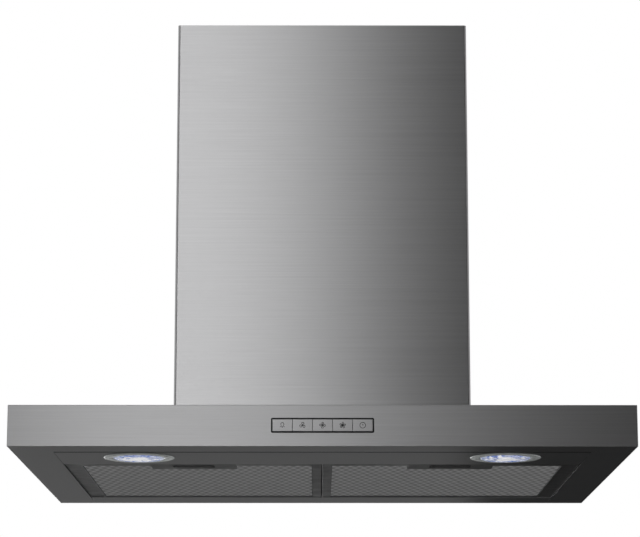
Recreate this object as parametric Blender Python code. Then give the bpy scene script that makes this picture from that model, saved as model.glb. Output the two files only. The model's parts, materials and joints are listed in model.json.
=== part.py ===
"""Island range hood with a slim canopy and a telescopic square chimney.

Metres, +Z up. The origin is the centre of the ceiling plate's top face, from which
the hood hangs. The control panel faces -Y and +X is to the right of someone who
faces it. The chimney is modelled pushed together, at its shortest.
"""
from math import cos, pi, radians, sin

import bmesh
import bpy
from mathutils import Matrix, Vector

# Overall sizes
WIDTH = 0.600
DEPTH = 0.500
CANOPY_HEIGHT = 0.040
CHIMNEY_WIDTH = 0.296
CHIMNEY_DEPTH = 0.296
CHIMNEY_HEIGHT = 0.410
TELESCOPE_LAP = 0.110
EXTENSION = CHIMNEY_HEIGHT - TELESCOPE_LAP

# Sheet metal
SHEET = 0.0008
BEND = 0.0006
CHIMNEY_BEND = 0.0025
GAP = 0.0003
RETURN = 0.006
PAST = 0.002

# Lamps
LAMP_SIDE = 0.120
LAMP_RADIUS = 0.035
BEZEL_OVERLAP = 0.0035
BEZEL_FACE = 0.0105
LAMP_HOLE = LAMP_RADIUS - BEZEL_OVERLAP
LENS_RADIUS = LAMP_RADIUS - BEZEL_FACE
BEZEL_DROP = 0.0024
BEZEL_LIP = 0.0004
BEZEL_NECK = 0.004
BEZEL_SLOPE = 0.003
BEZEL_CROWN = 0.005
LENS_THICK = 0.0044
LAMP_RIM_THICK = 0.006
LAMP_RIM_WIDTH = 0.004
LAMP_BODY_HEIGHT = 0.024
LAMP_SIDES = 48
LAMP_OFFSET = WIDTH / 2 - LAMP_SIDE
DRIVER_WIDTH = 0.110
DRIVER_DEPTH = 0.042
DRIVER_HEIGHT = 0.022
DRIVER_BACK = 0.018
DRIVER_EDGE = 0.0015

# Underside, measured back from the front face or in from the sides
RIM = 0.040
RIM_GROOVE = 0.004
LAMP_FRONT_EDGE = 0.003
LAMP_REAR_EDGE = 0.020
LAMP_BACK = RIM + RIM_GROOVE + LAMP_FRONT_EDGE + LAMP_RADIUS
LAMP_PANEL_BACK = LAMP_BACK + LAMP_RADIUS + LAMP_REAR_EDGE
REAR_STRIP = 0.057
REAR_FLANGE = 0.012

# Filters
FILTER_RECESS = 0.0006
FILTER_THICK = 0.009
FILTER_FOLD = 0.0006
FILTER_GAP = 0.0006
FILTER_SIDE_GAP = 0.0005
FILTER_RAIL = 0.0095
FILTER_FRONT_RAIL = 0.018
FILTER_REAR_RAIL = 0.005
FILTER_OUTER_RAIL = 0.017
FILTER_RIDGE = 0.002
RAIL_STEP = 0.0006
RAIL_WALL = 0.001
MESH_THICK = 0.0014
MESH_SET_IN = 0.0006
TONGUE_LENGTH = 0.008
TONGUE_WIDTH = 0.030
TONGUE_THICK = 0.0012
TONGUE_SPREAD = 0.150
TONGUE_ROOT = 0.0005
TONGUE_REST = 0.0019
REAR_LIP = FILTER_RECESS + FILTER_THICK - TONGUE_THICK - TONGUE_REST

# Filter latches
LATCH_WIDTH = 0.086
LATCH_DEPTH = 0.045
LATCH_THICK = 0.0012
SLOT_WIDTH = 0.042
SLOT_FRONT = 0.012
SLIDER_SIDE = 0.004
SLIDER_FRONT = 0.0115
SLIDER_LENGTH = 0.022
SLIDER_THICK = 0.0022
FINGER_HOLE = 0.0095
TAB_THICK = 0.002
BOLT_WIDTH = 0.024
BOLT_PLAY = 0.001
LATCH_TRAVEL = 0.006
TAB_CLEARANCE = 0.0012
SLOT_DEPTH = GAP + FINGER_HOLE + TAB_THICK + LATCH_TRAVEL + TAB_CLEARANCE

# Control panel
BUTTON_NAMES = ("button_light", "button_speed_1", "button_speed_2", "button_speed_3", "button_timer")
BUTTON_PITCH = 0.0191
BUTTON_GAP = 0.0003
BUTTON_HEIGHT = 0.0113
BUTTON_PROUD = 0.0009
BUTTON_THICK = 0.0035
BUTTON_STEM = 0.004
BUTTON_EDGE = 0.0002
STEM_SIZE = 0.004
SWITCH_SIZE = 0.006
BUTTON_TRAVEL = 0.002
PANEL_LINE = 0.0012
PANEL_UP = 0.0203
PANEL_PROUD = 0.0007
PANEL_BARREL = 0.005
PANEL_CORNER = 0.0014
WINDOW_CORNER = 0.0006
SWITCH_BOX_DEPTH = 0.018
SWITCH_BOX_WALL = 0.0015
BOARD_THICK = 0.0016

# Ceiling frame
PLATE_THICK = 0.002
PLATE_EDGE = 0.003
DUCT_CLEARANCE = 0.010
ANCHOR_INSET_X = 0.0332
ANCHOR_INSET_Y = 0.0552
ANCHOR_SLOT = 0.008
ANCHOR_SLOT_LENGTH = 0.024
MAINS_HOLE = 0.010
MAINS_MARGIN = 0.015
SECTION_CLEARANCE = 0.0012
UPRIGHT_LEG = 0.020
UPRIGHT_THICK = 0.0015
UPRIGHT_CLEARANCE = 0.005
UPRIGHT_RUN = 0.0005
UPPER_STOP = 0.015
LOWER_STOP = 0.010
TOP_CLEARANCE = 0.001
SCREW_RADIUS = 0.002
SCREW_HEAD_RADIUS = 0.0036
SCREW_HEAD = 0.0024
SCREW_PROUD = 0.003
SCREW_DROP = 0.020
SCREW_SLOT = 0.005
SLOT_END = 0.002
SEAM_LAP = 0.010
SEAM_STEP = 0.002

# Blower
BOX_CLEARANCE = 0.023
BOX_SHEET = 0.001
AIR_EDGE = 0.015
SCROLL_WALL = 0.0015
SCROLL_CLEARANCE = 0.006
SCROLL_GROWTH = 0.022
SCROLL_FLOOR = 0.0025
THROAT_RISE = 0.098
WHEEL_RADIUS = 0.060
WHEEL_WIDTH = 0.092
WHEEL_SIDE = 0.0075
WHEEL_TO_BOX = 0.025
WHEEL_DISC = 0.002
WHEEL_RING = 0.003
HUB_RADIUS = 0.010
HUB_LENGTH = 0.012
SHAFT_RADIUS = 0.004
SHAFT_LENGTH = 0.028
BLADES = 24
BLADE_DEPTH = 0.012
BLADE_THICK = 0.0018
BLADE_SLANT = radians(25)
MOTOR_CLEARANCE = 0.014
MOTOR_END = 0.004
MOTOR_PROUD = 0.006
MOTOR_EDGE = 0.003
BRACKET_THICK = 0.002
BRACKET_RING = 0.005
BRACKET_ARM = 0.012
BRACKET_LAP = 0.006
CAPACITOR_RADIUS = 0.015
CAPACITOR_LENGTH = 0.058
CAPACITOR_INSET_X = 0.030
CAPACITOR_INSET_Y = 0.040

# Duct collar, damper and mains box
COLLAR_RADIUS = 0.075
COLLAR_WALL = 0.002
COLLAR_HEIGHT = 0.050
COLLAR_FLANGE = 0.010
LEDGE_WIDTH = 0.004
BAR_WIDTH = 0.0024
BAR_HEIGHT = 0.003
BAR_DROP = 0.001
FLAP_THICK = 0.0015
FLAP_PIN = 0.0018
FLAP_LEVEL = 0.012
FLAP_CLEARANCE = 0.001
JUNCTION_CLEARANCE = 0.005
JUNCTION_INSET = 0.004
JUNCTION_HEIGHT = 0.026
JUNCTION_WALL = 0.002
LID_THICK = 0.002
LID_EDGE = 0.0006
GLAND_RISE = 0.013
GLAND_THREAD = 0.0060
GLAND_BORE = 0.0035
GLAND_NUT = 0.0080
GLAND_LENGTH = 0.014
GLAND_TAPER = 0.003
GLAND_REACH = 0.004

# What follows from them
BOX_WIDTH = CHIMNEY_WIDTH - 2 * BOX_CLEARANCE
BOX_DEPTH = CHIMNEY_DEPTH - 2 * BOX_CLEARANCE
WHEEL_INNER = WHEEL_RADIUS - BLADE_DEPTH
INLET_RADIUS = WHEEL_INNER
MOTOR_RADIUS = WHEEL_INNER - MOTOR_CLEARANCE
SCROLL_START = WHEEL_RADIUS + SCROLL_CLEARANCE
SCROLL_END = SCROLL_START + SCROLL_GROWTH
SCROLL_WIDTH = WHEEL_WIDTH + 2 * (WHEEL_SIDE + SCROLL_WALL)
SCROLL_RISE = SCROLL_END + SCROLL_WALL + SCROLL_FLOOR
SCROLL_SETBACK = BOX_DEPTH / 2 - WHEEL_TO_BOX - WHEEL_RADIUS
BOX_HEIGHT = SCROLL_RISE + THROAT_RISE
DUCT_HOLE = COLLAR_RADIUS + DUCT_CLEARANCE
CANOPY_TOP = -CHIMNEY_HEIGHT
CANOPY_BOTTOM = CANOPY_TOP - CANOPY_HEIGHT
FRONT = -DEPTH / 2
BACK = DEPTH / 2


# ---------------------------------------------------------------- shared tools

def clear_scene():
    for item in list(bpy.data.objects):
        bpy.data.objects.remove(item, do_unlink=True)


def finish(name, colour, roughness, metallic):
    """A Principled material with a linear base colour."""
    made = bpy.data.materials.new(name)
    made.use_nodes = True
    shader = made.node_tree.nodes["Principled BSDF"]
    shader.inputs["Base Color"].default_value = (*colour, 1.0)
    shader.inputs["Roughness"].default_value = roughness
    shader.inputs["Metallic"].default_value = metallic
    return made


def add_object(bm, name, look, parent=None, smooth=False):
    """Close a bmesh into an object; a parent empty marks the joint it moves on."""
    bmesh.ops.recalc_face_normals(bm, faces=bm.faces)
    mesh = bpy.data.meshes.new(name)
    bm.to_mesh(mesh)
    bm.free()
    if look:
        mesh.materials.append(look)
    if smooth:
        mesh.shade_smooth()
        mesh.set_sharp_from_angle(angle=radians(35))
    made = bpy.data.objects.new(name, mesh)
    bpy.context.scene.collection.objects.link(made)
    if parent:
        made.parent = parent
        made.matrix_parent_inverse = Matrix.Translation(-parent.location)
    return made


def pivot(name, place):
    """An empty on a joint's axis."""
    made = bpy.data.objects.new(name, None)
    made.location = place
    bpy.context.scene.collection.objects.link(made)
    return made


def block_mesh(low, high):
    bm = bmesh.new()
    size = [b - a for a, b in zip(low, high)]
    centre = [(a + b) / 2 for a, b in zip(low, high)]
    place = Matrix.Translation(centre) @ Matrix.Diagonal((*size, 1.0))
    bmesh.ops.create_cube(bm, size=1.0, matrix=place)
    return bm


def block(name, low, high, look=None, parent=None):
    return add_object(block_mesh(low, high), name, look, parent)


def on_axis(axis, along, first, second):
    """A point from its place along an axis and its two other coordinates, in X, Y, Z order."""
    if axis == "X":
        return Vector((along, first, second))
    if axis == "Y":
        return Vector((first, along, second))
    return Vector((first, second, along))


def prism(name, outline, axis, start, end, look=None, holes=(), parent=None, smooth=False):
    """An outline, with any holes, extruded along an axis."""
    bm = bmesh.new()
    for loop in (outline, *holes):
        corners = [bm.verts.new(on_axis(axis, start, *point)) for point in loop]
        for corner, following in zip(corners, corners[1:] + corners[:1]):
            bm.edges.new((corner, following))
    direction = on_axis(axis, 1.0, 0.0, 0.0)
    bmesh.ops.triangle_fill(bm, use_beauty=True, edges=bm.edges, normal=direction)
    raised = bmesh.ops.extrude_face_region(bm, geom=list(bm.faces))
    tops = [item for item in raised["geom"] if isinstance(item, bmesh.types.BMVert)]
    bmesh.ops.translate(bm, verts=tops, vec=direction * (end - start))
    return add_object(bm, name, look, parent, smooth)


def turned(name, profile, axis, centre, sides, look=None, parent=None):
    """A closed profile of (radius, height) turned about an axis; radius 0 closes on it."""
    bm = bmesh.new()
    rings = []
    for radius, height in profile:
        if radius == 0:
            rings.append([bm.verts.new(on_axis(axis, height, 0, 0))] * sides)
            continue
        angles = [2 * pi * side / sides for side in range(sides)]
        rings.append([bm.verts.new(on_axis(axis, height, radius * cos(angle), radius * sin(angle)))
                      for angle in angles])
    for ring, following in zip(rings, rings[1:] + rings[:1]):
        for side in range(sides):
            after = (side + 1) % sides
            corners = (ring[side], ring[after], following[after], following[side])
            distinct = list(dict.fromkeys(corners))
            if len(distinct) > 2:
                bm.faces.new(distinct)
    bmesh.ops.translate(bm, verts=bm.verts, vec=centre)
    return add_object(bm, name, look, parent, smooth=True)


def circle(radius, sides, centre=(0.0, 0.0)):
    return [(centre[0] + radius * cos(2 * pi * side / sides),
             centre[1] + radius * sin(2 * pi * side / sides)) for side in range(sides)]


def rectangle(low, high):
    return [(low[0], low[1]), (high[0], low[1]), (high[0], high[1]), (low[0], high[1])]


def rounded_rectangle(low, high, radius, steps=3):
    """Corners run anticlockwise from the upper right one."""
    corners = [(high[0] - radius, high[1] - radius, 0), (low[0] + radius, high[1] - radius, 90),
               (low[0] + radius, low[1] + radius, 180), (high[0] - radius, low[1] + radius, 270)]
    points = []
    for across, up, turn in corners:
        for step in range(steps + 1):
            angle = radians(turn + 90 * step / steps)
            points.append((across + radius * cos(angle), up + radius * sin(angle)))
    return points


def cut(target, *tools):
    """Take hidden cutter shapes out of a piece."""
    for tool in tools:
        tool.hide_render = True
        tool.display_type = "WIRE"
        change = target.modifiers.new(tool.name, "BOOLEAN")
        change.operation = "DIFFERENCE"
        change.object = tool


def fuse(target, *tools):
    """Add hidden shapes to a piece, so that they are one solid."""
    for tool in tools:
        tool.hide_render = True
        tool.display_type = "WIRE"
        change = target.modifiers.new(tool.name, "BOOLEAN")
        change.operation = "UNION"
        change.object = tool


def soften(target, width, segments=2):
    """Round a folded or moulded piece's edges."""
    change = target.modifiers.new("fold radius", "BEVEL")
    change.width = width
    change.segments = segments
    change.limit_method = "ANGLE"


# ---------------------------------------------------------------- canopy

def canopy_shell(steel):
    """One folded sheet: top, four walls, and a rim with an upstand under the front and sides."""
    half = WIDTH / 2
    shell = block("canopy_shell", (-half, FRONT, CANOPY_BOTTOM), (half, BACK, CANOPY_TOP), steel)
    soften(shell, BEND)
    inside = half - SHEET
    front_inside = FRONT + SHEET
    back_inside = BACK - SHEET
    floor = CANOPY_BOTTOM + SHEET
    upstand_top = CANOPY_BOTTOM + RETURN
    hollow = block("canopy hollow", (-inside, front_inside, upstand_top),
                   (inside, back_inside, CANOPY_TOP - SHEET))
    fold = half - RIM + SHEET
    front_fold = FRONT + RIM - SHEET
    rim_outline = [(-inside, back_inside), (-inside, front_inside), (inside, front_inside),
                   (inside, back_inside), (fold, back_inside), (fold, front_fold),
                   (-fold, front_fold), (-fold, back_inside)]
    overlap = SHEET
    rims = prism("rim hollow", rim_outline, "Z", floor, upstand_top + overlap)
    mouth = block("underside opening", (-(half - RIM), FRONT + RIM, CANOPY_BOTTOM - SHEET),
                  (half - RIM, back_inside, upstand_top + overlap))
    air_x, air_y = BOX_WIDTH / 2 - AIR_EDGE, BOX_DEPTH / 2 - AIR_EDGE
    air = block("air opening", (-air_x, -air_y, CANOPY_TOP - 2 * SHEET), (air_x, air_y, CANOPY_TOP + SHEET))
    wide, tall = panel_barrel_size()
    middle = CANOPY_BOTTOM + PANEL_UP
    panel = block("panel opening", (-wide / 2 - GAP, FRONT - SHEET, middle - tall / 2 - GAP),
                  (wide / 2 + GAP, FRONT + 2 * SHEET, middle + tall / 2 + GAP))
    cut(shell, hollow, rims, mouth, air, panel)
    return shell


def lamp_panel(steel):
    """A channel behind the front rim, with a round hole for each lamp."""
    half = WIDTH / 2 - RIM - GAP
    front = FRONT + RIM + RIM_GROOVE
    back = FRONT + LAMP_PANEL_BACK - FILTER_GAP
    low = CANOPY_BOTTOM
    high = CANOPY_BOTTOM + RETURN
    channel = [(front, high), (front, low), (back, low), (back, high), (back - SHEET, high),
               (back - SHEET, low + SHEET), (front + SHEET, low + SHEET), (front + SHEET, high)]
    panel = prism("lamp_panel", channel, "X", -half, half, steel)
    for side in (-1, 1):
        outline = [(0, -SHEET), (LAMP_HOLE, -SHEET), (LAMP_HOLE, 2 * SHEET), (0, 2 * SHEET)]
        hole = turned("lamp hole", outline, "Z", (side * LAMP_OFFSET, FRONT + LAMP_BACK, low), LAMP_SIDES)
        middle = side * filter_middle()
        half_bolt = BOLT_WIDTH / 2 + BOLT_PLAY
        bolt_low, bolt_high = bolt_level()
        strike = block("strike hole", (middle - half_bolt, back - 2 * SHEET, bolt_low - BOLT_PLAY),
                       (middle + half_bolt, back + SHEET, bolt_high + BOLT_PLAY))
        cut(panel, hole, strike)
    return panel


def rear_strip(steel):
    """An angle at the back of the underside; the filters' tongues hang over its lip."""
    half = WIDTH / 2 - RIM - GAP
    front = BACK - REAR_STRIP
    back = BACK - SHEET - GAP
    low = CANOPY_BOTTOM
    lip = CANOPY_BOTTOM + REAR_LIP
    flange = low + REAR_FLANGE
    section = [(front, lip), (front, low), (back, low), (back, flange), (back - SHEET, flange),
               (back - SHEET, low + SHEET), (front + SHEET, low + SHEET), (front + SHEET, lip)]
    return prism("rear_strip", section, "X", -half, half, steel)


# ---------------------------------------------------------------- filters

def filter_middle():
    """How far each filter's middle is from the middle of the hood."""
    return (WIDTH / 2 - RIM) / 2


def bolt_level():
    """The latch bolt's lower and upper faces."""
    low = CANOPY_BOTTOM + FILTER_RECESS + LATCH_THICK + GAP
    return low, low + SLIDER_THICK


def filter_side(side, aluminium, mesh_metal):
    """One grease filter, side -1 on the left and 1 on the right, hinged on its rear lower edge."""
    word = "left" if side < 0 else "right"
    low = CANOPY_BOTTOM + FILTER_RECESS
    high = low + FILTER_THICK
    front = FRONT + LAMP_PANEL_BACK
    back = BACK - REAR_STRIP - GAP
    inner = side * FILTER_SIDE_GAP
    outer = side * (WIDTH / 2 - RIM - FILTER_SIDE_GAP)
    hinge = pivot(f"filter_{word}_hinge", (0.0, back, low))

    def across(near, far, y_low, y_high, z_low, z_high, name, look=None, parent=None):
        """A block between two distances from the middle of the hood, on this filter's side."""
        left, right = sorted((side * near, side * far))
        return block(name, (left, y_low, z_low), (right, y_high, z_high), look, parent)

    near, far = abs(inner), abs(outer)
    frame = across(near, far, front, back, low, high, f"filter_frame_{word}", aluminium, hinge)
    soften(frame, FILTER_FOLD, 1)
    window_near, window_far = near + FILTER_RAIL, far - FILTER_OUTER_RAIL
    window_front, window_back = front + FILTER_FRONT_RAIL, back - FILTER_REAR_RAIL
    window = across(window_near, window_far, window_front, window_back, low - PAST, high + PAST, "window")
    step = across(window_far + FILTER_RIDGE, far - RAIL_WALL, front + RAIL_WALL, back - RAIL_WALL,
                  low - PAST, low + RAIL_STEP, "outer rail step")
    tray_floor = low + RAIL_STEP + RAIL_WALL
    trough_outline = [(near + RAIL_WALL, front + RAIL_WALL), (far - RAIL_WALL, front + RAIL_WALL),
                      (far - RAIL_WALL, back - RAIL_WALL), (near + RAIL_WALL, back - RAIL_WALL)]
    trough_hole = [(window_near - RAIL_WALL, window_front - RAIL_WALL),
                   (window_far + RAIL_WALL, window_front - RAIL_WALL),
                   (window_far + RAIL_WALL, window_back + RAIL_WALL),
                   (window_near - RAIL_WALL, window_back + RAIL_WALL)]
    trough = prism("trough", [(side * x, y) for x, y in trough_outline], "Z", tray_floor, high + PAST,
                   holes=([(side * x, y) for x, y in trough_hole],))
    middle = side * filter_middle()
    bolt_low, bolt_high = bolt_level()
    bolt_way = block("bolt way", (middle - BOLT_WIDTH / 2 - 2 * GAP, front - PAST, bolt_low - GAP),
                     (middle + BOLT_WIDTH / 2 + 2 * GAP, window_front + PAST, bolt_high + GAP))
    plate_bed = block("latch bed", (middle - LATCH_WIDTH / 2 - GAP, front + RAIL_WALL, low - PAST),
                      (middle + LATCH_WIDTH / 2 + GAP, window_front + PAST, low + LATCH_THICK + GAP))
    half_slide = SLOT_WIDTH / 2 + SLIDER_SIDE + GAP
    slide_bed = block("slide bed", (middle - half_slide, front + SLIDER_FRONT - GAP, bolt_low - GAP),
                      (middle + half_slide, window_front + PAST, high + PAST))
    cut(frame, window, step, trough, bolt_way, plate_bed, slide_bed)
    for place in (-1, 1):
        centre = middle + place * TONGUE_SPREAD / 2
        tongue = block("tongue", (centre - TONGUE_WIDTH / 2, back - TONGUE_ROOT, high - TONGUE_THICK),
                       (centre + TONGUE_WIDTH / 2, back + TONGUE_LENGTH, high))
        fuse(frame, tongue)

    mesh_low = low + MESH_SET_IN
    mesh = across(window_near + GAP, window_far - GAP, window_front + GAP, window_back - GAP,
                  mesh_low, mesh_low + MESH_THICK, f"filter_mesh_{word}", mesh_metal, hinge)
    notch = block("latch notch", (middle - LATCH_WIDTH / 2 - GAP, window_front - PAST, low - PAST),
                  (middle + LATCH_WIDTH / 2 + GAP, front + LATCH_DEPTH + GAP, high))
    cut(mesh, notch)

    plate_front = front + RAIL_WALL + GAP
    plate_back = front + LATCH_DEPTH
    slot_front = front + SLOT_FRONT
    half_slot = SLOT_WIDTH / 2
    slot = rectangle((middle - half_slot, slot_front), (middle + half_slot, slot_front + SLOT_DEPTH))
    plate = rectangle((middle - LATCH_WIDTH / 2, plate_front), (middle + LATCH_WIDTH / 2, plate_back))
    prism(f"latch_plate_{word}", plate, "Z", low, low + LATCH_THICK, aluminium, holes=(slot,), parent=hinge)
    latch_slider(word, middle, front, low, aluminium, hinge)


def latch_slider(word, middle, front, low, aluminium, hinge):
    """The finger slide on top of the latch plate.

    A fingertip goes up through the slot and the slide's own hole, and pulls the tab back, which
    draws the bolt out of the lamp panel's flange. The slide's front edge is its bolt.
    """
    slide = pivot(f"latch_{word}_slide", (middle, front, low))
    slide.parent = hinge
    slide.matrix_parent_inverse = Matrix.Translation(-hinge.location)
    base, top = bolt_level()
    half = SLOT_WIDTH / 2 + SLIDER_SIDE
    body_front = front + SLIDER_FRONT
    body_back = body_front + SLIDER_LENGTH
    outline = [(middle - half, body_front), (middle - BOLT_WIDTH / 2, body_front),
               (middle - BOLT_WIDTH / 2, front + GAP), (middle + BOLT_WIDTH / 2, front + GAP),
               (middle + BOLT_WIDTH / 2, body_front), (middle + half, body_front),
               (middle + half, body_back), (middle - half, body_back)]
    hole_half = SLOT_WIDTH / 2 - TAB_THICK
    hole_front = front + SLOT_FRONT + GAP
    hole = rectangle((middle - hole_half, hole_front), (middle + hole_half, hole_front + FINGER_HOLE))
    slider = prism(f"latch_slider_{word}", outline, "Z", base, top, aluminium, holes=(hole,), parent=slide)
    tab_front = hole_front + FINGER_HOLE
    tab = block("finger tab", (middle - hole_half, tab_front, low + GAP),
                (middle + hole_half, tab_front + TAB_THICK, (base + top) / 2))
    fuse(slider, tab)


# ---------------------------------------------------------------- lamps

def lamp(side, bezel_metal, lens_glass, housing):
    """A recessed lamp: a body above the panel, a bezel ring under it and a lens inside the ring."""
    word = "left" if side < 0 else "right"
    centre = (side * LAMP_OFFSET, FRONT + LAMP_BACK, CANOPY_BOTTOM)
    bezel = [(LAMP_RADIUS, -GAP), (LAMP_RADIUS, -GAP - BEZEL_LIP),
             (LAMP_RADIUS - BEZEL_SLOPE, BEZEL_LIP - BEZEL_DROP), (LAMP_RADIUS - BEZEL_CROWN, -BEZEL_DROP),
             (LENS_RADIUS + GAP + 2 * BEZEL_LIP, -BEZEL_DROP), (LENS_RADIUS + GAP, BEZEL_LIP - BEZEL_DROP),
             (LENS_RADIUS + GAP, BEZEL_NECK),
             (LAMP_HOLE - GAP, BEZEL_NECK), (LAMP_HOLE - GAP, -GAP)]
    turned(f"lamp_bezel_{word}", bezel, "Z", centre, LAMP_SIDES, bezel_metal)
    lens_top = LENS_THICK - BEZEL_DROP
    lens = [(0, lens_top), (LENS_RADIUS, lens_top), (LENS_RADIUS, 3 * BEZEL_LIP - BEZEL_DROP),
            (LENS_RADIUS * 0.92, BEZEL_LIP - BEZEL_DROP), (LENS_RADIUS * 0.5, -BEZEL_DROP), (0, -BEZEL_DROP)]
    turned(f"lamp_lens_{word}", lens, "Z", centre, LAMP_SIDES, lens_glass)
    base = BEZEL_NECK + GAP
    rim = LAMP_HOLE - GAP
    waist = rim - LAMP_RIM_WIDTH
    rim_top = base + LAMP_RIM_THICK
    body = [(0, base), (rim, base), (rim, rim_top), (waist, rim_top + LAMP_RIM_WIDTH / 4),
            (waist, LAMP_BODY_HEIGHT), (0, LAMP_BODY_HEIGHT)]
    turned(f"lamp_body_{word}", body, "Z", centre, LAMP_SIDES // 2, housing)


def led_driver(plastic):
    """The lamps' power supply, on top of the lamp panel."""
    low = CANOPY_BOTTOM + SHEET + GAP
    front = FRONT + RIM + DRIVER_BACK
    driver = block("led_driver", (-DRIVER_WIDTH / 2, front, low),
                   (DRIVER_WIDTH / 2, front + DRIVER_DEPTH, low + DRIVER_HEIGHT), plastic)
    soften(driver, DRIVER_EDGE)


# ---------------------------------------------------------------- control panel

def panel_window_size():
    return len(BUTTON_NAMES) * BUTTON_PITCH - BUTTON_GAP + 2 * GAP, BUTTON_HEIGHT + 2 * GAP


def panel_barrel_size():
    """The part of the frame that passes through the canopy's front wall."""
    wide, tall = panel_window_size()
    return wide + PANEL_LINE, tall + PANEL_LINE


def control_panel(black, board_green, button_steel):
    """The frame round the buttons, the box behind it with its circuit board, and the buttons."""
    middle = CANOPY_BOTTOM + PANEL_UP
    wide, tall = (size / 2 for size in panel_window_size())
    window = rounded_rectangle((-wide, middle - tall), (wide, middle + tall), WINDOW_CORNER)
    wide, tall = wide + PANEL_LINE, tall + PANEL_LINE
    outside = rounded_rectangle((-wide, middle - tall), (wide, middle + tall), PANEL_CORNER)
    frame = prism("switch_frame", outside, "Y", FRONT - PANEL_PROUD, FRONT - GAP, black, holes=(window,))
    barrel_wide, barrel_tall = (size / 2 for size in panel_barrel_size())
    barrel_outline = rectangle((-barrel_wide, middle - barrel_tall), (barrel_wide, middle + barrel_tall))
    barrel_front = FRONT - (PANEL_PROUD + GAP) / 2
    barrel = prism("frame barrel", barrel_outline, "Y", barrel_front, FRONT + PANEL_BARREL, holes=(window,))
    fuse(frame, barrel)

    box_front = FRONT + SHEET + GAP
    box_back = box_front + SWITCH_BOX_DEPTH
    wall = SWITCH_BOX_WALL
    room_wide, room_tall = barrel_wide + GAP, barrel_tall + GAP
    housing = block("switch_housing", (-room_wide - wall, box_front, middle - room_tall - wall),
                    (room_wide + wall, box_back, middle + room_tall + wall), black)
    room = block("switch room", (-room_wide, box_front - PAST, middle - room_tall),
                 (room_wide, box_back - wall, middle + room_tall))
    cut(housing, room)
    board_back = box_back - wall - GAP
    board = block("switch_board", (-room_wide + GAP, board_back - BOARD_THICK, middle - room_tall + GAP),
                  (room_wide - GAP, board_back, middle + room_tall - GAP), board_green)

    cap_front = FRONT - BUTTON_PROUD
    stem_back = cap_front + BUTTON_THICK + BUTTON_STEM
    nub_front = stem_back + BUTTON_TRAVEL + GAP
    nub_back = board_back - BOARD_THICK / 2
    half = SWITCH_SIZE / 2
    for place, name in enumerate(BUTTON_NAMES):
        x = (place - (len(BUTTON_NAMES) - 1) / 2) * BUTTON_PITCH
        nub = block(f"tact switch {place}", (x - half, nub_front, middle - half),
                    (x + half, nub_back, middle + half))
        fuse(board, nub)
        push_button(name, x, middle, cap_front, stem_back, button_steel)


def push_button(name, x, middle, cap_front, stem_back, steel):
    """A cap with a stem behind it, which presses a switch on the board."""
    axis = pivot(f"{name}_slide", (x, cap_front, middle))
    half_wide, half_tall = (BUTTON_PITCH - BUTTON_GAP) / 2, BUTTON_HEIGHT / 2
    cap = block(name, (x - half_wide, cap_front, middle - half_tall),
                (x + half_wide, cap_front + BUTTON_THICK, middle + half_tall), steel, axis)
    soften(cap, BUTTON_EDGE)
    half = STEM_SIZE / 2
    stem = block(f"{name} stem", (x - half, cap_front + BUTTON_THICK / 2, middle - half),
                 (x + half, stem_back, middle + half))
    fuse(cap, stem)


# ---------------------------------------------------------------- chimney

def chimney_half(name, width, depth, low, high, steel, front):
    """Half of a square tube, folded to a U. The rear half's stepped edge laps inside the front half."""
    way = -1 if front else 1
    half, reach = width / 2, depth / 2
    bend = CHIMNEY_BEND
    steps = 4

    def corner(radius, side):
        """An arc round one vertical fold, from the side wall to the end wall."""
        points = []
        for step in range(steps + 1):
            angle = radians(90 * step / steps)
            points.append((side * (half - bend + radius * cos(angle)),
                           way * (reach - bend + radius * sin(angle))))
        return points

    seam = way * GAP / 2
    outer = corner(bend, -1) + corner(bend, 1)[::-1]
    inner = corner(bend - SHEET, -1) + corner(bend - SHEET, 1)[::-1]
    if front:
        outline = ([(-half, seam)] + outer + [(half, seam), (half - SHEET, seam)] + inner[::-1]
                   + [(-half + SHEET, seam)])
    else:
        lap = half - SHEET - GAP
        lapped = seam - SEAM_LAP
        shoulder = seam + SEAM_STEP
        outline = ([(-lap, lapped), (-lap, seam), (-half, seam)] + outer
                   + [(half, seam), (lap, seam), (lap, lapped), (lap - SHEET, lapped),
                      (lap - SHEET, shoulder), (half - SHEET, shoulder)]
                   + inner[::-1]
                   + [(-half + SHEET, shoulder), (-lap + SHEET, shoulder), (-lap + SHEET, lapped)])
    return prism(name, outline, "Z", low, high, steel, smooth=True)


def chimney(steel):
    lower_low = CANOPY_TOP + GAP
    upper_low = CANOPY_TOP + UPPER_STOP
    top = -TOP_CLEARANCE
    shrink = 2 * (SHEET + SECTION_CLEARANCE)
    for word, front in (("front", True), ("rear", False)):
        chimney_half(f"chimney_lower_{word}", CHIMNEY_WIDTH, CHIMNEY_DEPTH, lower_low, top, steel, front)
        chimney_half(f"chimney_upper_{word}", CHIMNEY_WIDTH - shrink, CHIMNEY_DEPTH - shrink,
                     upper_low, top, steel, front)


# ---------------------------------------------------------------- ceiling frame

def upright_corner():
    """Outer corner of the upper uprights, half the frame's width and half its depth."""
    inset = 2 * SHEET + SECTION_CLEARANCE + UPRIGHT_CLEARANCE
    return CHIMNEY_WIDTH / 2 - inset, CHIMNEY_DEPTH / 2 - inset


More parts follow.
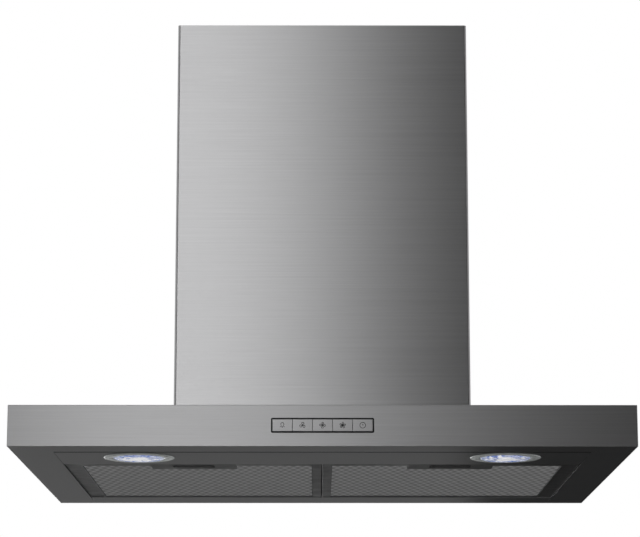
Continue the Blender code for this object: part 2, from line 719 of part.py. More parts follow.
def ceiling_plate(zinc):
    """The plate that is screwed to the ceiling, with the duct hole, four anchor slots and a mains hole."""
    half_x, half_y = (size + PLATE_EDGE for size in upright_corner())
    outline = rectangle((-half_x, -half_y), (half_x, half_y))
    mains_y = DUCT_HOLE + MAINS_MARGIN + MAINS_HOLE
    holes = [circle(DUCT_HOLE, 40), circle(MAINS_HOLE, 12, (0.0, mains_y))]
    slot_x, slot_y = ANCHOR_SLOT_LENGTH / 2, ANCHOR_SLOT / 2
    slot_end = slot_y - 0.0001
    anchor_x, anchor_y = half_x - ANCHOR_INSET_X, half_y - ANCHOR_INSET_Y
    for x in (-anchor_x, anchor_x):
        for y in (-anchor_y, anchor_y):
            holes.append(rounded_rectangle((x - slot_x, y - slot_y), (x + slot_x, y + slot_y), slot_end))
    prism("ceiling_plate", outline, "Z", -PLATE_THICK, 0.0, zinc, holes=holes)


def upright(name, sign_x, sign_y, corner, low, high, zinc):
    """An angle profile with its corner outwards."""
    x, y = corner
    leg, thick = UPRIGHT_LEG, UPRIGHT_THICK
    outline = [(x, y), (x - leg, y), (x - leg, y - thick),
               (x - thick, y - thick), (x - thick, y - leg), (x, y - leg)]
    return prism(name, [(sign_x * px, sign_y * py) for px, py in outline], "Z", low, high, zinc)


def hanging_frame(zinc, screw_steel):
    """Four pairs of nested angles; a lock screw in each lower one runs in the upper one's slot."""
    upper_x, upper_y = upright_corner()
    nest = UPRIGHT_THICK + UPRIGHT_RUN
    lower_x, lower_y = upper_x - nest, upper_y - nest
    screw_z = -LOWER_STOP - SCREW_DROP
    slot_top = screw_z + SCREW_RADIUS + SLOT_END
    slot_low = screw_z - EXTENSION - SCREW_RADIUS - SLOT_END
    for number, (sign_x, sign_y) in enumerate(((-1, -1), (1, -1), (1, 1), (-1, 1)), start=1):
        upper = upright(f"upper_upright_{number}", sign_x, sign_y, (upper_x, upper_y),
                        CANOPY_TOP + UPPER_STOP, -PLATE_THICK - GAP, zinc)
        lower = upright(f"lower_upright_{number}", sign_x, sign_y, (lower_x, lower_y),
                        CANOPY_TOP + GAP, -LOWER_STOP, zinc)
        y = sign_y * (lower_y - UPRIGHT_THICK - (UPRIGHT_LEG - UPRIGHT_THICK) / 2)
        inside, outside = sorted((sign_x * (upper_x - UPRIGHT_THICK - GAP), sign_x * (upper_x + PAST)))
        slot = block("height slot", (inside, y - SCREW_SLOT / 2, slot_low),
                     (outside, y + SCREW_SLOT / 2, slot_top))
        cut(upper, slot)
        inside, outside = sorted((sign_x * (lower_x - UPRIGHT_THICK - PAST), sign_x * (lower_x + GAP)))
        bore = SCREW_RADIUS + GAP
        hole = turned("screw hole", [(0, inside), (bore, inside), (bore, outside), (0, outside)],
                      "X", (0.0, y, screw_z), 12)
        cut(lower, hole)
        head = sign_x * (upper_x + GAP)
        head_top = head + sign_x * SCREW_HEAD
        shank_end = sign_x * (lower_x - UPRIGHT_THICK - SCREW_PROUD)
        turned(f"lock_screw_{number}",
               [(0, head_top), (SCREW_HEAD_RADIUS, head_top), (SCREW_HEAD_RADIUS, head), (SCREW_RADIUS, head),
                (SCREW_RADIUS, shank_end), (0, shank_end)],
               "X", (0.0, y, screw_z), 12, screw_steel)


# ---------------------------------------------------------------- blower

def motor_box(zinc):
    """A box open at the bottom, on the canopy's top, with a round hole under the collar."""
    half_x, half_y = BOX_WIDTH / 2, BOX_DEPTH / 2
    low = CANOPY_TOP + GAP
    high = low + BOX_HEIGHT
    box = block("motor_box", (-half_x, -half_y, low), (half_x, half_y, high), zinc)
    room = block("box room", (BOX_SHEET - half_x, BOX_SHEET - half_y, low - PAST),
                 (half_x - BOX_SHEET, half_y - BOX_SHEET, high - BOX_SHEET))
    hole_radius = COLLAR_RADIUS - COLLAR_WALL
    outline = [(0, -2 * PAST), (hole_radius, -2 * PAST), (hole_radius, 2 * PAST), (0, 2 * PAST)]
    hole = turned("box outlet", outline, "Z", (0.0, 0.0, high), 40)
    cut(box, room, hole)
    return high


def wheel_centre():
    """The middle of the fan wheel, on its axis."""
    return Vector((0.0, SCROLL_SETBACK, CANOPY_TOP + GAP + SCROLL_RISE))


def volute(offset, top, steps=22):
    """The scroll's outline in Y and Z: a growing spiral round the wheel and a straight throat going up.

    offset moves every wall outwards. The spiral starts at the tongue, runs over the rear and under the
    wheel, and ends at the front where the throat rises.
    """
    centre_y, centre_z = wheel_centre().yz
    first, last = radians(102), radians(-180)
    points = []
    for step in range(steps + 1):
        share = step / steps
        angle = first + (last - first) * share
        radius = SCROLL_START + (SCROLL_END - SCROLL_START) * share + offset
        points.append((centre_y + radius * cos(angle), centre_z + radius * sin(angle)))
    front_wall = centre_y - SCROLL_END - offset
    tongue = centre_y + SCROLL_START * cos(first) + offset
    return [(tongue, top)] + points + [(front_wall, top)]


def scroll(side, box_top, plastic):
    """One half of the scroll housing, with an inlet in its side wall. The throat is open at the top."""
    word = "left" if side < 0 else "right"
    throat_top = box_top - BOX_SHEET - GAP
    outside = SCROLL_WIDTH / 2
    outer = volute(SCROLL_WALL, throat_top)
    inner = volute(0.0, throat_top)
    bm = bmesh.new()
    outer_seam = [bm.verts.new((side * GAP / 2, y, z)) for y, z in outer]
    outer_end = [bm.verts.new((side * outside, y, z)) for y, z in outer]
    inner_seam = [bm.verts.new((side * GAP / 2, y, z)) for y, z in inner]
    inner_end = [bm.verts.new((side * (outside - SCROLL_WALL), y, z)) for y, z in inner]
    for near, far in ((outer_seam, outer_end), (inner_seam, inner_end)):
        for place in range(len(near) - 1):
            bm.faces.new((near[place], near[place + 1], far[place + 1], far[place]))
    bm.faces.new(outer_seam + inner_seam[::-1])
    bm.faces.new((outer_seam[0], outer_end[0], outer_end[-1], outer_seam[-1],
                  inner_seam[-1], inner_end[-1], inner_end[0], inner_seam[0]))
    bm.faces.new(inner_end)
    bm.faces.new(outer_end)
    bmesh.ops.recalc_face_normals(bm, faces=bm.faces)
    half = add_object(bm, f"scroll_{word}", plastic, smooth=True)
    near, far = sorted((side * (outside - 2 * SCROLL_WALL), side * (outside + SCROLL_WALL)))
    inlet = turned("inlet", [(0, near), (INLET_RADIUS, near), (INLET_RADIUS, far), (0, far)], "X",
                   wheel_centre(), 36)
    cut(half, inlet)


def impeller(metal):
    """A double-inlet fan wheel: a disc and hub in the middle, slanted blades and two end rings."""
    centre = wheel_centre()
    axis = pivot("impeller_axis", centre)
    half = WHEEL_WIDTH / 2
    disc = WHEEL_DISC / 2
    profile = [(0, HUB_LENGTH), (HUB_RADIUS, HUB_LENGTH), (HUB_RADIUS, disc), (WHEEL_INNER, disc),
               (WHEEL_INNER, half), (WHEEL_RADIUS, half), (WHEEL_RADIUS, -half), (WHEEL_INNER, -half),
               (WHEEL_INNER, -disc), (SHAFT_RADIUS, -disc), (SHAFT_RADIUS, -SHAFT_LENGTH), (0, -SHAFT_LENGTH)]
    wheel = turned("impeller", profile, "X", centre, 2 * BLADES, metal, axis)
    middle = (WHEEL_INNER + WHEEL_RADIUS) / 2
    spacing = 2 * pi * WHEEL_INNER / BLADES
    window = spacing * cos(BLADE_SLANT) - BLADE_THICK
    slot_depth = BLADE_DEPTH + 4 * PAST
    bm = bmesh.new()
    for side in (-1, 1):
        near, far = sorted((side * disc, side * (half - WHEEL_RING)))
        for blade in range(BLADES):
            turn = Matrix.Rotation(2 * pi * (blade + 0.5) / BLADES, 4, "X")
            place = (Matrix.Translation(centre) @ turn @ Matrix.Translation(((near + far) / 2, middle, 0.0))
                     @ Matrix.Rotation(BLADE_SLANT, 4, "X")
                     @ Matrix.Diagonal((far - near, slot_depth, window, 1.0)))
            bmesh.ops.create_cube(bm, size=1.0, matrix=place)
    gaps = add_object(bm, "blade gaps", None)
    cut(wheel, gaps)


def motor(motor_metal, zinc, plastic):
    """The motor sits inside the left end of the wheel, in a three-armed bracket on the scroll's side."""
    centre = wheel_centre()
    near = -WHEEL_DISC / 2 - MOTOR_END
    far = -SCROLL_WIDTH / 2 - MOTOR_PROUD
    bore = SHAFT_RADIUS + GAP
    bore_end = -SHAFT_LENGTH - PAST
    shoulder = MOTOR_RADIUS - MOTOR_EDGE
    profile = [(0, far), (shoulder, far), (MOTOR_RADIUS, far + MOTOR_EDGE), (MOTOR_RADIUS, near - MOTOR_EDGE),
               (shoulder, near), (bore, near), (bore, bore_end), (0, bore_end)]
    turned("motor", profile, "X", centre, 32, motor_metal)

    ring = MOTOR_RADIUS + BRACKET_RING
    arm_end = INLET_RADIUS + BRACKET_LAP
    arm_half = BRACKET_ARM / 2
    root = (ring ** 2 - arm_half ** 2) ** 0.5
    outline = []
    for arm in range(3):
        heading = 2 * pi * arm / 3 + pi / 2
        out = Vector((cos(heading), sin(heading)))
        across = Vector((-sin(heading), cos(heading)))
        for reach, side in ((root, -1), (arm_end, -1), (arm_end, 1), (root, 1)):
            outline.append(tuple(centre.yz + reach * out + side * arm_half * across))
        for step in range(1, 6):
            turn = heading + 2 * pi / 3 * step / 6
            outline.append((centre.y + ring * cos(turn), centre.z + ring * sin(turn)))
    outside = -SCROLL_WIDTH / 2 - GAP
    prism("motor_bracket", outline, "X", outside - BRACKET_THICK, outside, zinc,
          holes=(circle(MOTOR_RADIUS + GAP, 32, centre.yz),))

    box_top = CANOPY_TOP + GAP + BOX_HEIGHT - BOX_SHEET - GAP
    can = [(0, -CAPACITOR_LENGTH), (CAPACITOR_RADIUS, -CAPACITOR_LENGTH), (CAPACITOR_RADIUS, 0.0), (0, 0.0)]
    place = (CAPACITOR_INSET_X - BOX_WIDTH / 2, CAPACITOR_INSET_Y - BOX_DEPTH / 2, box_top)
    turned("capacitor", can, "Z", place, 20, plastic)


def outlet(box_top, plastic):
    """The round duct collar on the motor box, with two half-round flaps that rest on its inner ledge."""
    inner = COLLAR_RADIUS - COLLAR_WALL
    base = box_top + GAP
    ledge = inner - LEDGE_WIDTH
    ledge_top = FLAP_LEVEL - FLAP_PIN
    flange = COLLAR_RADIUS + COLLAR_FLANGE
    profile = [(flange, 0), (flange, COLLAR_WALL), (COLLAR_RADIUS, COLLAR_WALL),
               (COLLAR_RADIUS, COLLAR_HEIGHT), (inner, COLLAR_HEIGHT), (inner, ledge_top),
               (ledge, ledge_top), (ledge, 0)]
    collar = turned("outlet_collar", profile, "Z", (0.0, 0.0, base), 48, plastic)
    bar_top = base + ledge_top - BAR_DROP
    bar_end = inner + COLLAR_WALL / 2
    bar = block("collar bar", (-BAR_WIDTH / 2, -bar_end, bar_top - BAR_HEIGHT),
                (BAR_WIDTH / 2, bar_end, bar_top))
    fuse(collar, bar)

    level = base + FLAP_LEVEL
    rim = inner - FLAP_CLEARANCE
    near = FLAP_PIN + GAP
    barrel_end = 0.9 * rim
    barrel_radius = FLAP_PIN - 0.0001
    barrel = [(0, -barrel_end), (barrel_radius, -barrel_end), (barrel_radius, barrel_end), (0, barrel_end)]
    for side, word in ((-1, "left"), (1, "right")):
        hinge = pivot(f"damper_flap_{word}_hinge", (side * near, 0.0, level))
        angles = [radians(-84 + 12 * step) for step in range(15)]
        outline = [(side * rim * cos(angle), rim * sin(angle)) for angle in angles]
        outline += [(side * near, outline[-1][1]), (side * near, outline[0][1])]
        flap = prism(f"damper_flap_{word}", outline, "Z", level - FLAP_THICK / 2, level + FLAP_THICK / 2,
                     plastic, parent=hinge)
        fuse(flap, turned(f"flap barrel {word}", barrel, "Y", (side * near, 0.0, level), 12))


def junction(box_top, plastic):
    """The mains junction box on a rear corner of the motor box, its lid and an empty cable gland."""
    inner = (COLLAR_RADIUS + COLLAR_FLANGE) * cos(radians(45)) + JUNCTION_CLEARANCE
    low = (inner, inner, box_top + GAP)
    high = (BOX_WIDTH / 2 - JUNCTION_INSET, BOX_DEPTH / 2 - JUNCTION_INSET, box_top + GAP + JUNCTION_HEIGHT)
    wall = JUNCTION_WALL
    body = block("junction_box", low, high, plastic)
    room = block("junction room", [side + wall for side in low], [side - wall for side in high])
    gland_y = (low[1] + high[1]) / 2
    gland_z = low[2] + GLAND_RISE
    bore = GLAND_THREAD + GAP
    entry = turned("gland hole", [(0, -3 * wall), (bore, -3 * wall), (bore, 3 * wall), (0, 3 * wall)],
                   "X", (low[0], gland_y, gland_z), 20)
    cut(body, room, entry)
    lid_low = high[2] + GAP
    lid = block("junction_lid", (low[0], low[1], lid_low), (high[0], high[1], lid_low + LID_THICK), plastic)
    soften(lid, LID_EDGE, 1)
    outside = low[0] - GAP
    outer_end, inner_end = outside - GLAND_LENGTH, low[0] + wall + GLAND_REACH
    profile = [(GLAND_BORE, outer_end), (GLAND_THREAD, outer_end), (GLAND_NUT, outer_end + GLAND_TAPER),
               (GLAND_NUT, outside), (GLAND_THREAD, outside), (GLAND_THREAD, inner_end),
               (GLAND_BORE, inner_end)]
    turned("cable_gland", profile, "X", (0.0, gland_y, gland_z), 20, plastic)


# ---------------------------------------------------------------- whole hood

def build():
    clear_scene()
    brushed = finish("brushed stainless steel", (0.42, 0.42, 0.42), 0.32, 1.0)
    zinc = finish("galvanised steel", (0.45, 0.46, 0.47), 0.45, 1.0)
    aluminium = finish("aluminium filter frame", (0.40, 0.40, 0.41), 0.40, 1.0)
    mesh_metal = finish("aluminium filter mesh", (0.30, 0.30, 0.31), 0.45, 1.0)
    black = finish("black plastic", (0.02, 0.02, 0.02), 0.45, 0.0)
    grey_plastic = finish("grey plastic", (0.20, 0.20, 0.21), 0.50, 0.0)
    bezel_metal = finish("satin lamp bezel", (0.55, 0.58, 0.58), 0.30, 1.0)
    lens_glass = finish("frosted lamp lens", (0.72, 0.76, 0.95), 0.25, 0.0)
    button_steel = finish("steel button", (0.48, 0.48, 0.48), 0.30, 1.0)
    board_green = finish("circuit board", (0.02, 0.12, 0.05), 0.50, 0.0)
    motor_metal = finish("motor steel", (0.25, 0.25, 0.26), 0.40, 1.0)
    screw_steel = finish("zinc screw", (0.55, 0.55, 0.52), 0.35, 1.0)

    canopy_shell(brushed)
    lamp_panel(brushed)
    rear_strip(brushed)
    for side in (-1, 1):
        filter_side(side, aluminium, mesh_metal)
        lamp(side, bezel_metal, lens_glass, grey_plastic)
    led_driver(grey_plastic)
    control_panel(black, board_green, button_steel)
    chimney(brushed)
    ceiling_plate(zinc)
    hanging_frame(zinc, screw_steel)
    box_top = motor_box(zinc)
    for side in (-1, 1):
        scroll(side, box_top, grey_plastic)
    impeller(zinc)
    motor(motor_metal, zinc, grey_plastic)
    outlet(box_top, black)
    junction(box_top, black)


build()
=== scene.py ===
"""Looks of the island range hood: brushed steel skins, mesh filters, lamps and push buttons."""
import json
from math import cos, pi, radians, sin

import bmesh
import bpy
from mathutils import Euler, Matrix, Vector


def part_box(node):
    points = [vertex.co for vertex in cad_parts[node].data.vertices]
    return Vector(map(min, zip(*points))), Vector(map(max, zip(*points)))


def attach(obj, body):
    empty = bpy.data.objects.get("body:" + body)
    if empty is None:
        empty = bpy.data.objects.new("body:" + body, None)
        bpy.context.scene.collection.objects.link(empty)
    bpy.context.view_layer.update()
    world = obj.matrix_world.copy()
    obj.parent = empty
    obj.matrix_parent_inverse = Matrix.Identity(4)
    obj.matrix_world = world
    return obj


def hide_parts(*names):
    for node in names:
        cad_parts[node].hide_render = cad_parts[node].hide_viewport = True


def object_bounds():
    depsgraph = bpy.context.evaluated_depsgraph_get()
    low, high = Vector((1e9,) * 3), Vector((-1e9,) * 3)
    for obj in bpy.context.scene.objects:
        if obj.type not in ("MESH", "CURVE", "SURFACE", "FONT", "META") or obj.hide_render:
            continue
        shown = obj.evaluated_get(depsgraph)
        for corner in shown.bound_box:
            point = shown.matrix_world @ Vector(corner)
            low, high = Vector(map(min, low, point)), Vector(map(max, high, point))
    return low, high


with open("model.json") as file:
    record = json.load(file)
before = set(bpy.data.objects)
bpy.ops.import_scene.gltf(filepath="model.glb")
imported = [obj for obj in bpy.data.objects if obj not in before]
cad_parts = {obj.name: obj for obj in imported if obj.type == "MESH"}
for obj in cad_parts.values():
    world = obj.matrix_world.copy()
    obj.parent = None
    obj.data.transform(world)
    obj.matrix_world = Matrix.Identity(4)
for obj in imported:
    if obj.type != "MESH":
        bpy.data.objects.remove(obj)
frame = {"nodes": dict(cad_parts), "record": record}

MM = 0.001
CAD_LOW, CAD_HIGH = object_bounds()
NODES = frame["nodes"]
RECORD = frame["record"]
BODY_OF = {node: body for body, members in RECORD["behaviour"]["bodies"].items() for node in members}
BUTTONS = ("button_light", "button_speed_1", "button_speed_2", "button_speed_3", "button_timer")

# Filter mesh: cell width, strand width, half of its height, and its upright front edge
CELL = 4.5 * MM
STRAND = 1.1 * MM
STRAND_RISE = 0.35 * MM
STRAND_EDGE = 0.25 * MM
STRAND_GAP = 0.3 * MM

# Half of the distance between two painted glint bands on the filter mesh
GLINT_BAND = 15 * MM

# Wire pack: lift above the face mesh, thickness, height of its dimples, and how finely it is divided
PACK_LIFT = 1.2 * MM
PACK_THICKNESS = 1.5 * MM
PACK_DIMPLE = 0.4 * MM
PACK_COLUMNS = 40
PACK_ROWS = 50

# Turn of the pack's waves from one column, and from one row, to the next, in radians
COLUMN_TURN = 2.1
ROW_TURN = 1.9

# Cutter for a slot in a lamp bezel: width, depth and height
NOTCH = (4.0 * MM, 1.8 * MM, 3.2 * MM)

# Half of a printed line's width
STROKE = 0.32 * MM

# A fan petal's outline, as a share of its length and a lean that is a share of the petals' spacing
PETAL_LENGTH = 2.8 * MM
PETAL = ((0.45, -0.30), (0.80, -0.36), (1.0, -0.20), (1.0, 0.05), (0.80, 0.24), (0.50, 0.14))

# Camera, from the middle of the canopy's lower front edge, and its angles in degrees
CAMERA_SIDE = -6.65 * MM
CAMERA_BACK = 2.285
CAMERA_DROP = 0.2993
CAMERA_PITCH = 11.67
CAMERA_YAW = 0.106
LENS = 136.15

# The floor: its depth below the top of the hood, and its reach to each side
FLOOR_DEPTH = 4.8
FLOOR_REACH = 9.0


# ---------------------------------------------------------------- materials

def hex_colour(code):
    """An sRGB hex colour as linear red, green, blue and alpha."""
    channels = [int(code[start:start + 2], 16) / 255 for start in (1, 3, 5)]
    linear = [c / 12.92 if c <= 0.04045 else ((c + 0.055) / 1.055) ** 2.4 for c in channels]
    return (*linear, 1.0)


def add_node(tree, kind, inputs=None, **settings):
    """Add a node with its settings; an input is a value or another node's output to link."""
    node = tree.nodes.new(kind)
    for name, value in settings.items():
        setattr(node, name, value)
    for name, value in (inputs or {}).items():
        if isinstance(value, bpy.types.NodeSocket):
            tree.links.new(value, node.inputs[name])
        else:
            node.inputs[name].default_value = value
    return node


def maths(tree, operation, *values):
    """The result of one arithmetic step on values or other nodes' outputs."""
    return add_node(tree, "ShaderNodeMath", dict(enumerate(values)), operation=operation).outputs[0]


def start_material(name):
    """A new material and its empty node tree."""
    made = bpy.data.materials.new(name)
    made.use_nodes = True
    made.node_tree.nodes.clear()
    return made, made.node_tree


def finish_material(made, tree, shader):
    """Send the shader to the material's output."""
    add_node(tree, "ShaderNodeOutputMaterial", {"Surface": shader.outputs["BSDF"]})
    return made


def object_point(tree, scale):
    """Object coordinates divided by a size along each axis, in metres."""
    place = add_node(tree, "ShaderNodeTexCoord").outputs["Object"]
    stretch = [1 / size for size in scale]
    return add_node(tree, "ShaderNodeMapping", {"Vector": place, "Scale": stretch}).outputs["Vector"]


def noise(tree, scale, detail=3.0, roughness=0.5):
    """A noise value from 0 to 1 with features of the given size in metres along X, Y and Z."""
    point = object_point(tree, scale)
    return add_node(tree, "ShaderNodeTexNoise",
                    {"Vector": point, "Scale": 1.0, "Detail": detail, "Roughness": roughness}).outputs["Fac"]


def spread(tree, value, low, high, start=0.3, end=0.7):
    """A value mapped from start..end to low..high."""
    return add_node(tree, "ShaderNodeMapRange", {"Value": value, "From Min": start, "From Max": end,
                                                 "To Min": low, "To Max": high}).outputs["Result"]


def tinted(tree, code, shade):
    """A colour made lighter or darker by a shade value round 1."""
    return add_node(tree, "ShaderNodeVectorMath", {0: hex_colour(code)[:3], "Scale": shade},
                    operation="SCALE").outputs["Vector"]


def brushed_stainless(name, grain, code="#c3c3c4", roughness=0.30, smear=0.70, streak=1.0):
    """Stainless steel sheet, belt-brushed to a No. 4 finish.

    The belt leaves short straight scratches along the grain, so a light is smeared across the grain
    and stays fairly sharp along it. Real scratches are 0.05 mm apart; these are drawn 0.5 mm apart and
    60 mm long, so that they show.
    """
    made, tree = start_material(name)
    length, pitch = 60 * MM, 0.5 * MM
    along = "XY".index(grain)
    size = [pitch] * 3
    size[along] = length
    scratches = noise(tree, size, detail=2.0, roughness=0.5)
    bands = noise(tree, [part * 4 for part in size], detail=1.0)
    both = maths(tree, "ADD", scratches, bands)
    shade = spread(tree, both, 1 - 0.05 * streak, 1 + 0.05 * streak, 0.7, 1.3)
    rough = spread(tree, bands, roughness - 0.01, roughness + 0.01)
    way = [0.0] * 3
    way[along] = 1.0
    tangent = add_node(tree, "ShaderNodeVectorTransform", {"Vector": way}, vector_type="VECTOR",
                       convert_from="OBJECT", convert_to="WORLD")
    shader = add_node(tree, "ShaderNodeBsdfPrincipled", {
        "Base Color": tinted(tree, code, shade), "Metallic": 1.0, "Roughness": rough,
        "Anisotropic": smear, "Anisotropic Rotation": 0.25, "Tangent": tangent.outputs["Vector"]})
    return finish_material(made, tree, shader)


def rolled_aluminium(name, code="#8f8f90", roughness=0.42):
    """Mill-finish aluminium sheet: dull silver with faint rolling lines 2 mm apart and greasy patches."""
    made, tree = start_material(name)
    lines = noise(tree, (60 * MM, 2 * MM, 2 * MM), detail=3.0)
    grease = noise(tree, (18 * MM, 18 * MM, 18 * MM), detail=3.0)
    shade = spread(tree, lines, 0.92, 1.06)
    rough = spread(tree, grease, roughness - 0.08, roughness + 0.08)
    relief = add_node(tree, "ShaderNodeBump", {"Height": lines, "Strength": 0.15, "Distance": 0.03 * MM})
    shader = add_node(tree, "ShaderNodeBsdfPrincipled", {
        "Base Color": tinted(tree, code, shade), "Metallic": 1.0, "Roughness": rough,
        "Normal": relief.outputs["Normal"]})
    return finish_material(made, tree, shader)


def expanded_aluminium(name, code="#d8d8d9"):
    """Bare aluminium strands, slit and stretched, with painted glints: bright on the knuckles and greyer in
    between.

    The colour is painted lighter and darker by turns in bands 30 mm apart. This stands in for the glints
    where the layers behind the face line up. The bands step across by one 4.5 mm cell.
    """
    made, tree = start_material(name)
    wear = noise(tree, (3 * MM, 3 * MM, 3 * MM), detail=2.0)
    point = object_point(tree, (CELL / pi, GLINT_BAND / pi, 1.0))
    place = add_node(tree, "ShaderNodeSeparateXYZ", {"Vector": point})
    across = maths(tree, "SINE", place.outputs["X"])
    along = maths(tree, "SINE", place.outputs["Y"])
    # Painted glints: the strands' colour goes lighter and darker in a lattice of spots
    bands = maths(tree, "MULTIPLY", across, along)
    shade = maths(tree, "MULTIPLY_ADD", bands, 0.30, spread(tree, wear, 0.86, 1.10))
    rough = spread(tree, wear, 0.30, 0.42)
    shader = add_node(tree, "ShaderNodeBsdfPrincipled", {
        "Base Color": tinted(tree, code, shade), "Metallic": 0.86, "Roughness": rough})
    return finish_material(made, tree, shader)


def knitted_wire(name, code="#6f6f70"):
    """The pack of crimped wire layers behind the face mesh: a dim grey tangle with 2 mm loops,
    painted darker in the grooves between the loops as shade.
    """
    made, tree = start_material(name)
    point = object_point(tree, (2 * MM, 2 * MM, 2 * MM))
    loops = add_node(tree, "ShaderNodeTexVoronoi", {"Vector": point, "Scale": 1.0},
                     feature="DISTANCE_TO_EDGE").outputs["Distance"]
    # Painted shade: the grooves between the loops are darkened down to a quarter
    shade = spread(tree, loops, 0.25, 1.0, 0.0, 0.4)
    relief = add_node(tree, "ShaderNodeBump", {"Height": loops, "Strength": 0.6, "Distance": 0.4 * MM})
    shader = add_node(tree, "ShaderNodeBsdfPrincipled", {
        "Base Color": tinted(tree, code, shade), "Metallic": 1.0, "Roughness": 0.5,
        "Normal": relief.outputs["Normal"]})
    return finish_material(made, tree, shader)


def galvanised_steel(name, code="#a6aaac"):
    """Hot-dip galvanised sheet: flat zinc crystals 9 mm across, each a slightly different grey."""
    made, tree = start_material(name)
    point = object_point(tree, (9 * MM, 9 * MM, 9 * MM))
    crystal = add_node(tree, "ShaderNodeTexVoronoi", {"Vector": point, "Scale": 1.0}).outputs["Color"]
    tone = add_node(tree, "ShaderNodeSeparateColor", {"Color": crystal}).outputs["Red"]
    dulling = noise(tree, (30 * MM, 30 * MM, 30 * MM), detail=3.0)
    shader = add_node(tree, "ShaderNodeBsdfPrincipled", {
        "Base Color": tinted(tree, code, spread(tree, tone, 0.86, 1.08, 0.0, 1.0)), "Metallic": 1.0,
        "Roughness": spread(tree, dulling, 0.36, 0.52)})
    return finish_material(made, tree, shader)


def moulded_plastic(name, code, roughness=0.45):
    """Injection-moulded plastic with a fine spark-eroded texture, grains 0.4 mm across."""
    made, tree = start_material(name)
    grains = noise(tree, (0.4 * MM, 0.4 * MM, 0.4 * MM), detail=2.0)
    dust = noise(tree, (25 * MM, 25 * MM, 25 * MM), detail=3.0)
    relief = add_node(tree, "ShaderNodeBump", {"Height": grains, "Strength": 0.25, "Distance": 0.05 * MM})
    shader = add_node(tree, "ShaderNodeBsdfPrincipled", {
        "Base Color": tinted(tree, code, spread(tree, dust, 0.90, 1.12)),
        "Roughness": spread(tree, dust, roughness - 0.05, roughness + 0.05),
        "Normal": relief.outputs["Normal"]})
    return finish_material(made, tree, shader)


def satin_chrome(name, code="#d3d8d8", metallic=1.0, painted_lamp_glow=0.0):
    """Satin plating: light grey, soft reflections, faint cloudiness 6 mm across.

    Thin plating on plastic is less than fully metallic, so some of the moulding's own grey shows. A
    bezel round a lamp gets a little painted glow: an emission standing in for the lamp's light on it.
    """
    made, tree = start_material(name)
    cloud = noise(tree, (6 * MM, 6 * MM, 6 * MM), detail=2.0)
    colour = tinted(tree, code, spread(tree, cloud, 0.95, 1.03))
    # The emission is painted lamp light on a part that is no lamp
    shader = add_node(tree, "ShaderNodeBsdfPrincipled", {
        "Base Color": colour, "Metallic": metallic, "Roughness": spread(tree, cloud, 0.28, 0.36),
        "Emission Color": colour, "Emission Strength": painted_lamp_glow})
    return finish_material(made, tree, shader)


def lit_lens(name):
    """Pressed glass cover over a blue-white light.

    The glass is white in the middle and has blue flashes near its rim, where the reflector's edge
    shows through.
    """
    made, tree = start_material(name)
    place = add_node(tree, "ShaderNodeTexCoord").outputs["Generated"]
    apart = add_node(tree, "ShaderNodeVectorMath", {0: place, 1: (0.5, 0.5, 0.0)}, operation="SUBTRACT")
    flat = add_node(tree, "ShaderNodeVectorMath", {0: apart.outputs["Vector"], 1: (2.0, 2.0, 0.0)},
                    operation="MULTIPLY")
    reach = add_node(tree, "ShaderNodeVectorMath", {0: flat.outputs["Vector"]}, operation="LENGTH")
    ripple = noise(tree, (8 * MM, 5 * MM, 5 * MM), detail=2.0)
    wavy = maths(tree, "ADD", spread(tree, ripple, -0.45, 0.45), reach.outputs["Value"])
    ramp = add_node(tree, "ShaderNodeValToRGB", {"Fac": wavy})
    stops = ramp.color_ramp.elements
    stops[0].position, stops[0].color = 0.55, hex_colour("#f7f7fa")
    stops[1].position, stops[1].color = 1.0, hex_colour("#b9c0d4")
    for position, code in ((0.70, "#b4bce0"), (0.80, "#3f5fae"), (0.90, "#93a3d2")):
        stops.new(position).color = hex_colour(code)
    shader = add_node(tree, "ShaderNodeBsdfPrincipled", {
        "Base Color": ramp.outputs["Color"], "Roughness": 0.20, "IOR": 1.5, "Coat Weight": 0.6,
        "Coat Roughness": 0.05, "Emission Color": ramp.outputs["Color"], "Emission Strength": 0.28})
    return finish_material(made, tree, shader)


def printed_ink(name, code="#303030"):
    """Screen-printed ink, matt dark grey, a little thin in places."""
    made, tree = start_material(name)
    cover = noise(tree, (0.8 * MM, 0.8 * MM, 0.8 * MM), detail=2.0)
    shader = add_node(tree, "ShaderNodeBsdfPrincipled", {
        "Base Color": tinted(tree, code, spread(tree, cover, 0.8, 1.3)), "Roughness": 0.6})
    return finish_material(made, tree, shader)


def painted_floor(name, code="#e6e6e4"):
    """Plain pale floor paint with barely visible roller marks 40 mm across."""
    made, tree = start_material(name)
    roller = noise(tree, (40 * MM, 40 * MM, 40 * MM), detail=2.0)
    shader = add_node(tree, "ShaderNodeBsdfPrincipled", {
        "Base Color": tinted(tree, code, spread(tree, roller, 0.985, 1.01)), "Roughness": 0.7})
    return finish_material(made, tree, shader)


# ---------------------------------------------------------------- shaping tools

def add_mesh(name, bm, looks):
    """A new object in the scene from a bmesh, with its materials in slot order."""
    mesh = bpy.data.meshes.new(name)
    bm.to_mesh(mesh)
    bm.free()
    for look in looks:
        mesh.materials.append(look)
    made = bpy.data.objects.new(name, mesh)
    bpy.context.scene.collection.objects.link(made)
    return made


def smooth(piece, sharp=50):
    """Shade folds and turned surfaces round, and keep flat faces flat right up to them."""
    piece.data.shade_smooth()
    piece.data.set_sharp_from_angle(angle=radians(sharp))
    weighted = piece.modifiers.new("flat faces", "WEIGHTED_NORMAL")
    weighted.keep_sharp = True


def stand_for(piece, node):
    """The piece rides on a CAD node's body and is shown in its place."""
    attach(piece, BODY_OF[node])
    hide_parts(node)
    return piece


